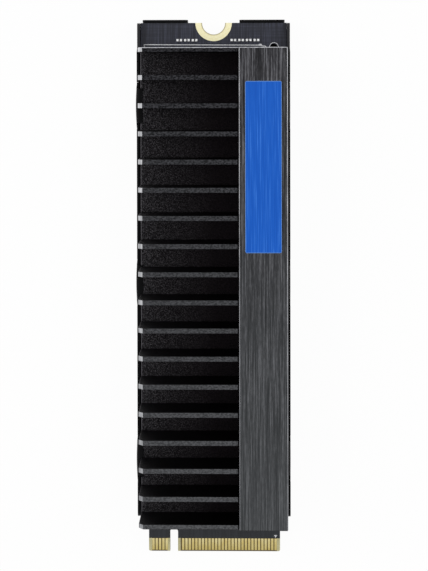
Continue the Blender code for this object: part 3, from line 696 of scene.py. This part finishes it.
def bowTongues(mesh, look):
    # planes across the tray cut each sprung tongue into strips; then a point moves in towards the
    # wall by the flare, times its share of the tongue's height, times one minus a cosine bell
    # along the tongue, and the tongues' sides close the slits a little
    half = look["tongueWidth"] / 2 * mm
    pitch = look["tonguePitch"] * mm
    root = look["root"] * mm
    middle = (sinkLow[1] + sinkHigh[1]) / 2
    strips = np.linspace(-half, half, look["strips"] + 1)[1:-1]
    cuts = middle + np.add.outer(np.array([-pitch, 0, pitch]), strips)
    shape = bmesh.new()
    shape.from_mesh(mesh)
    for y in cuts.ravel():
        everything = shape.verts[:] + shape.edges[:] + shape.faces[:]
        bmesh.ops.bisect_plane(
            shape, geom=everything, dist=0.0001 * mm, plane_co=(0, y, 0), plane_no=(0, 1, 0),
        )
    shape.to_mesh(mesh)
    shape.free()
    places = getPlaces(mesh)
    nearest = middle + np.clip(np.round((places[:, 1] - middle) / pitch), -1, 1) * pitch
    along = (places[:, 1] - nearest) / half
    onTongue = np.abs(along) < 1.001
    rise = np.clip((places[:, 2] - root) / (trayHigh[2] - root), 0, 1)
    places[:, 1] += along * look["slitFill"] * mm * (rise > 0) * onTongue
    wallInside = trayHigh[0] - look["wallDepth"] * mm
    outward = np.clip((np.abs(places[:, 0]) - wallInside) / (look["wallBlend"] * mm), 0, 1)
    bell = np.cos(np.pi / 2 * np.clip(along, -1, 1)) ** look["roundness"]
    bell *= np.where(places[:, 0] > 0, look["landShare"], 1)
    inward = look["flare"] * mm * (1 - bell) * rise * outward * onTongue
    places[:, 0] -= np.sign(places[:, 0]) * inward
    setPlaces(mesh, places)


def clipTray():
    look = {
        "edge": 0.03, "tonguePitch": 26.4, "tongueWidth": 6.8, "strips": 10, "root": 1.9,
        "roundness": 0.8, "flare": 0.19, "slitFill": 0.05, "landShare": 0.15,
        "wallDepth": 1.0, "wallBlend": 0.4, "upward": 0.5,
        "topGloss": 0.07, "topTones": ((0.35, "#070708"), (0.8, "#121214")),
        "sheetGloss": 0.4, "sheetTones": ((0.35, "#121215"), (0.8, "#1f1f23")),
    }

    def chooser(normals, middles):
        # 0 sheared tops, where the coat is thick and dull, 2 the satin faces of the sheet and the
        # low walls past the heat sink; 1, the worn steel with its painted highlight, is that of the
        # softened edges
        lowWall = (middles[:, 1] > sinkHigh[1]) & (np.abs(middles[:, 0]) > boardHigh[0])
        return np.where((normals[:, 2] > look["upward"]) & ~lowWall, 0, 2)

    shearedTop = coatedSteel("coatedSteelEdge", look["topGloss"], look["topTones"])
    sheetFace = coatedSteel("coatedSteelSheet", look["sheetGloss"], look["sheetTones"])
    materials = [shearedTop, wornEdgeAndHighlight(), sheetFace]
    piece = dress("foldedClipTray", "clip_tray", materials, look["edge"], chooser, 1)
    bowTongues(piece.data, look)


clipTray()

print("stage: circuit board")


def circuitBoard():
    look = {
        "maskEnd": 2.0, "thickness": 0.8, "notchRadius": 1.75, "notchWall": 0.1, "edge": 0.012,
        "upright": 0.3, "proudShare": 0.2,
    }
    notchRadius = look["notchRadius"] * mm

    def chooser(normals, middles):
        # 0 mask, 1 contacts, 2 screw land and plated notch wall, 3 routed edge
        boardUnder = boardTop - look["thickness"] * mm
        rise = look["proudShare"] * plating
        proud = (middles[:, 2] > boardTop + rise) | (middles[:, 2] < boardUnder - rise)
        upright = np.abs(normals[:, 2]) < look["upright"]
        toNotch = np.hypot(middles[:, 0], middles[:, 1] - screwEnd)
        notchWall = upright & (toNotch < notchRadius + look["notchWall"] * mm)
        index = np.where(upright, 3, 0)
        index = np.where(proud, np.where(middles[:, 1] > 0, 2, 1), index)
        return np.where(notchWall, 2, index)

    materials = [
        solderMask(connectorEnd + look["maskEnd"] * mm), goldPlating(), paleGoldPlating(notchRadius),
        cutLaminate(),
    ]
    dress("platedCircuitBoard", "circuit_board", materials, look["edge"], chooser)


circuitBoard()


inkFilm = {"lineLift": 0.002, "patchLift": 0.005, "thickness": 0.012}


def addInk(name, rims, lift, faces, material):
    # a printed mark: flat faces, lifted off the mask by the given millimetres and thickened upwards
    points = np.column_stack([rims, np.full(len(rims), boardTop + lift * mm)])
    mesh = bpy.data.meshes.new(name)
    mesh.from_pydata(points.tolist(), [], faces)
    piece = addPiece(name, mesh, [material])
    film = piece.modifiers.new("ink film", "SOLIDIFY")
    film.thickness = inkFilm["thickness"] * mm
    film.offset = 1.0


def printedLine(name, points, width, material, closed=False):
    # a flat band along a path: each point moves half the width to either side, along the mitre of
    # its two runs
    path = np.array(points, dtype=float) * mm
    before = path - np.roll(path, 1, axis=0)
    after = np.roll(path, -1, axis=0) - path
    if not closed:
        before[0], after[-1] = after[0], before[-1]
    before /= np.linalg.norm(before, axis=1, keepdims=True)
    after /= np.linalg.norm(after, axis=1, keepdims=True)
    side = np.column_stack([-before[:, 1] - after[:, 1], before[:, 0] + after[:, 0]])
    side /= (1 + np.sum(before * after, axis=1))[:, None]
    half = width * mm / 2
    rims = np.concatenate([path + side * half, path - side * half])
    count = len(path)
    run = np.arange(count if closed else count - 1)
    onward = (run + 1) % count
    quads = np.column_stack([run + count, onward + count, onward, run])
    addInk(name, rims, inkFilm["lineLift"], quads.tolist(), material)


def printedPatch(name, points, material):
    # a small filled outline, its points in one flat face, a hair above the lines
    face = list(range(len(points)))
    addInk(name, np.asarray(points) * mm, inkFilm["patchLift"], [face], material)


def oval(middle, halfWidth, halfHeight, count):
    # points of an ellipse: middle plus half of each size times the cosine and sine of an even turn
    turn = np.linspace(0, 2 * math.pi, count, endpoint=False)
    return np.column_stack([
        middle[0] + halfWidth * np.cos(turn), middle[1] + halfHeight * np.sin(turn),
    ])


def boardMarks():
    look = {
        "line": 0.12,
        "outline": [(-10.48, 35.775), (-10.48, 36.515), (6.75, 36.415), (7.85, 36.235), (7.85, 35.775)],
        "dot": (7.03, 36.495), "dotHalf": (0.26, 0.12),
        "ring": (9.1, 36.115), "ringRadius": 0.67, "ringLine": 0.085,
        "arrow": [(9.25, -38.135), (9.5, -37.715), (9.0, -37.715)],
    }
    ink = whiteInk()
    printedLine("printedChipOutline", look["outline"], look["line"], ink)
    printedPatch("printedPinMark", oval(look["dot"], *look["dotHalf"], 16), ink)
    ring = oval(look["ring"], look["ringRadius"], look["ringRadius"], 40)
    printedLine("printedHoleRing", ring, look["ringLine"], ink, closed=True)
    printedPatch("printedRowArrow", look["arrow"], ink)


boardMarks()

print("stage: label and pads")


def label():
    look = {"edge": 0.03}
    materials = [blueFilm(*corners("heat_sink_label")), filmEdge()]
    dress("blueLabel", "heat_sink_label", materials, look["edge"], edgeMaterial=1)


label()


def squeezedPad(name, node, bulge, corner, material):
    # a rounded rectangle carried up through the pad's thickness, bulging outward as a half sine in
    # between; bulge and corner radius are in millimetres
    low, high = corners(node)
    perCorner, rows = 8, 9
    half = (high[:2] - low[:2]) / 2
    middle = (high[:2] + low[:2]) / 2
    quarters = np.arange(4) * math.pi / 2
    turn = np.concatenate([np.linspace(q, q + math.pi / 2, perCorner) for q in quarters])
    signs = np.repeat([[1, 1], [-1, 1], [-1, -1], [1, -1]], perCorner, axis=0)
    radial = np.column_stack([np.cos(turn), np.sin(turn)])
    t = np.linspace(0, 1, rows)
    inset = bulge * mm * (1 - np.sin(math.pi * t))
    centre = signs * (half - corner * mm)
    reach = (corner * mm - inset)[:, None, None]
    ring = middle + centre[None] + radial[None] * reach
    z = np.broadcast_to((low[2] + t * (high[2] - low[2]))[:, None, None], (*ring.shape[:2], 1))
    points = np.concatenate([ring, z], axis=2)
    count = ring.shape[1]
    row, column = np.meshgrid(np.arange(rows - 1), np.arange(count), indexing="ij")
    start, onward = row * count + column, row * count + (column + 1) % count
    sides = np.stack([start, onward, onward + count, start + count], axis=-1).reshape(-1, 4)
    ends = [np.arange(count)[::-1].tolist(), (np.arange(count) + (rows - 1) * count).tolist()]
    mesh = bpy.data.meshes.new(name)
    mesh.from_pydata(points.reshape(-1, 3).tolist(), [], sides.tolist() + ends)
    addPiece(name, mesh, [material], (node,))


def thermalPads():
    look = {"upperBulge": 0.12, "lowerBulge": 0.2, "corner": 0.5}
    silicone = siliconePad()
    squeezedPad("upperSiliconePad", "thermal_pad_top", look["upperBulge"], look["corner"], silicone)
    squeezedPad("lowerSiliconePad", "thermal_pad_bottom", look["lowerBulge"], look["corner"], silicone)


thermalPads()

print("stage: chips and small parts")


def smallParts():
    look = {
        "mouldEdge": 0.05, "smallMouldEdge": 0.03, "substrateTop": 0.27, "capSlack": 0.03,
        "crystalEdge": 0.03, "lidFrom": 0.72, "dielectric": ("#8d6f4c", "#b08f68"),
        "glaze": ("#2b2b2e", "#454548"), "ceramic": ("#8f8877", "#b5ad9a"),
    }
    epoxy, substrate, tin = mouldedEpoxy(), packageSubstrate(), tinnedEnd()
    dielectric = firedCeramic("firedDielectric", *look["dielectric"])
    glaze = firedCeramic("glazedAlumina", *look["glaze"])
    base = firedCeramic("whiteCeramic", *look["ceramic"])
    ferrite, lid = pressedFerrite(), platedLid()

    def mouldedPackage(normals, middles):
        # 0 mould cap, 1 the substrate below it
        return np.where(middles[:, 2] < boardTop + look["substrateTop"] * mm, 1, 0)

    for node in ("flash_memory_chip_1", "flash_memory_chip_2", "buffer_memory_chip", "controller_chip"):
        dress(
            "dressed_" + node, node, [epoxy, substrate], look["mouldEdge"],
            mouldedPackage,
        )
    for node in ("power_chip", "boot_memory_chip", "load_switch"):
        dress("dressed_" + node, node, [epoxy], look["smallMouldEdge"])

    def capped(node, cap):
        # 0 body, 1 both ends, cut where the cap ends along the part's longer side
        low, high = corners(node)
        axis = int(np.argmax(high[:2] - low[:2]))
        middle, half = (low[axis] + high[axis]) / 2, (high[axis] - low[axis]) / 2
        bodyHalf = half - (cap + look["capSlack"]) * mm

        def chooser(normals, middles):
            return np.where(np.abs(middles[:, axis] - middle) > bodyHalf, 1, 0)
        return chooser

    def numbered(kind, count):
        return [f"{kind}_{number}" for number in range(1, count + 1)]

    # nodes, body, softened edge and cap length in millimetres, and slot
    cappedParts = (
        (numbered("end_resistor", 7), glaze, 0.06, 0.3, "tinned_part"),
        (numbered("small_capacitor", 4), dielectric, 0.03, 0.25, "tinned_part"),
        (numbered("power_capacitor", 3), dielectric, 0.05, 0.35, "tinned_part"),
        (["input_fuse"], base, 0.04, 0.3, "tinned_part"),
        (numbered("power_inductor", 3), ferrite, 0.03, 0.0, "ferrite"),
    )
    for group, body, edge, cap, slot in cappedParts:
        for node in group:
            dress("dressed_" + node, node, [body, tin], edge, capped(node, cap))

    low, high = corners("crystal")
    lidUnder = low[2] + look["lidFrom"] * (high[2] - low[2])

    def lidded(normals, middles):
        # 0 plated lid, 1 ceramic base
        return np.where(middles[:, 2] > lidUnder, 0, 1)

    dress("dressed_crystal", "crystal", [lid, base], look["crystalEdge"], lidded)


smallParts()

print("stage: studio")


def directRays(tree):
    # the light path, and 1 for what is seen straight, in a reflection or through something clear
    rays = addNode(tree, "ShaderNodeLightPath")
    seen = addNode(
        tree, "ShaderNodeMath", {"operation": "MAXIMUM"},
        {0: (rays, "Is Camera Ray"), 1: (rays, "Is Glossy Ray")},
    )
    seen = addNode(
        tree, "ShaderNodeMath", {"operation": "MAXIMUM"}, {0: (seen, 0), 1: (rays, "Is Transmission Ray")},
    )
    return rays, seen


def paleFloor():
    # paper that is mostly its own white wherever it is seen, so only a faint shadow stays
    look = {"paper": "#f7f7f6", "ownWhite": 0.96, "halfWidth": 1.5, "drop": 0.02}
    half = look["halfWidth"]
    mesh = bpy.data.meshes.new("paleFloor")
    square = [(-half, -half, 0), (half, -half, 0), (half, half, 0), (-half, half, 0)]
    mesh.from_pydata(square, [], [(0, 1, 2, 3)])
    floor = bpy.data.objects.new("paleFloor", mesh)
    floor.location.z = -look["drop"] * mm
    bpy.context.scene.collection.objects.link(floor)
    material = bpy.data.materials.new("palePaper")
    material.use_nodes = True
    tree = material.node_tree
    tree.nodes.clear()
    seen = directRays(tree)[1]
    share = addNode(
        tree, "ShaderNodeMath", {"operation": "MULTIPLY", 1: look["ownWhite"]}, {0: (seen, 0)},
    )
    paper = addNode(tree, "ShaderNodeBsdfDiffuse", {"Color": look["paper"]})
    white = addNode(tree, "ShaderNodeEmission", {"Color": "#ffffff", "Strength": 1.0})
    mixed = addNode(tree, "ShaderNodeMixShader", None, {0: (share, 0), 1: (paper, 0), 2: (white, 0)})
    addNode(tree, "ShaderNodeOutputMaterial", None, {"Surface": (mixed, 0)})
    mesh.materials.append(material)


def whiteRoom():
    # a white background, and reflections of a white room whose ceiling is a little dimmer
    look = {"fill": 0.4, "ceilingFrom": 0.55, "ceiling": 0.7}
    world = bpy.data.worlds.new("studioWhite")
    bpy.context.scene.world = world
    world.use_nodes = True
    tree = world.node_tree
    tree.nodes.clear()
    rays, seen = directRays(tree)
    direction = addNode(tree, "ShaderNodeTexCoord")
    height = addNode(tree, "ShaderNodeSeparateXYZ", None, {0: (direction, "Generated")})
    room = addNode(
        tree, "ShaderNodeMapRange", {1: look["ceilingFrom"], 2: 1.0, 3: 1.0, 4: look["ceiling"]},
        {0: (height, 2)},
    )
    mirrored = addNode(
        tree, "ShaderNodeMath", {"operation": "MAXIMUM"}, {0: (room, 0), 1: (rays, "Is Camera Ray")},
    )
    strength = addNode(
        tree, "ShaderNodeMix", {"data_type": "FLOAT", 2: look["fill"]}, {0: (seen, 0), 3: (mirrored, 0)},
    )
    sky = addNode(tree, "ShaderNodeBackground", {"Color": "#ffffff"}, {"Strength": (strength, 0)})
    addNode(tree, "ShaderNodeOutputWorld", None, {"Surface": (sky, 0)})


def softboxes():
    # one square softbox a side, each turned to face the drive
    look = {
        "lamps": {"left": (-0.45, 0.15, 0.45), "right": (0.45, 0.1, 0.45)}, "size": 0.35, "power": 1.5,
    }
    for side, where in look["lamps"].items():
        lamp = bpy.data.lights.new(side + "Softbox", "AREA")
        lamp.shape = "SQUARE"
        lamp.size = look["size"]
        lamp.energy = look["power"]
        holder = bpy.data.objects.new(side + "Softbox", lamp)
        holder.location = where
        x, y, z = where
        lean = math.acos(z / math.hypot(x, y, z))
        holder.rotation_euler = (lean, 0, math.atan2(-y, -x) - math.pi / 2)
        bpy.context.scene.collection.objects.link(holder)


def camera():
    # above the screw end, turned a degree towards the connector and the fins; the shift frames the
    # drive as the photo does; the place is in millimetres, the turns in degrees
    look = {
        "place": (3.93, 30.375, 192.24), "turns": (-0.7, 0.911, -0.1), "lens": 79.427,
        "sensor": 36.0, "shift": (-0.01, -0.3238), "nearest": 0.005, "farthest": 20.0,
    }
    optics = bpy.data.cameras.new("photoCamera")
    optics.lens = look["lens"]
    optics.sensor_width = look["sensor"]
    optics.shift_x, optics.shift_y = look["shift"]
    optics.clip_start = look["nearest"]
    optics.clip_end = look["farthest"]
    holder = bpy.data.objects.new("photoCamera", optics)
    holder.location = [value * mm for value in look["place"]]
    holder.rotation_euler = [math.radians(turn) for turn in look["turns"]]
    bpy.context.scene.collection.objects.link(holder)
    bpy.context.scene.camera = holder


paleFloor()
whiteRoom()
softboxes()
camera()
bpy.context.scene.view_settings.view_transform = "Standard"
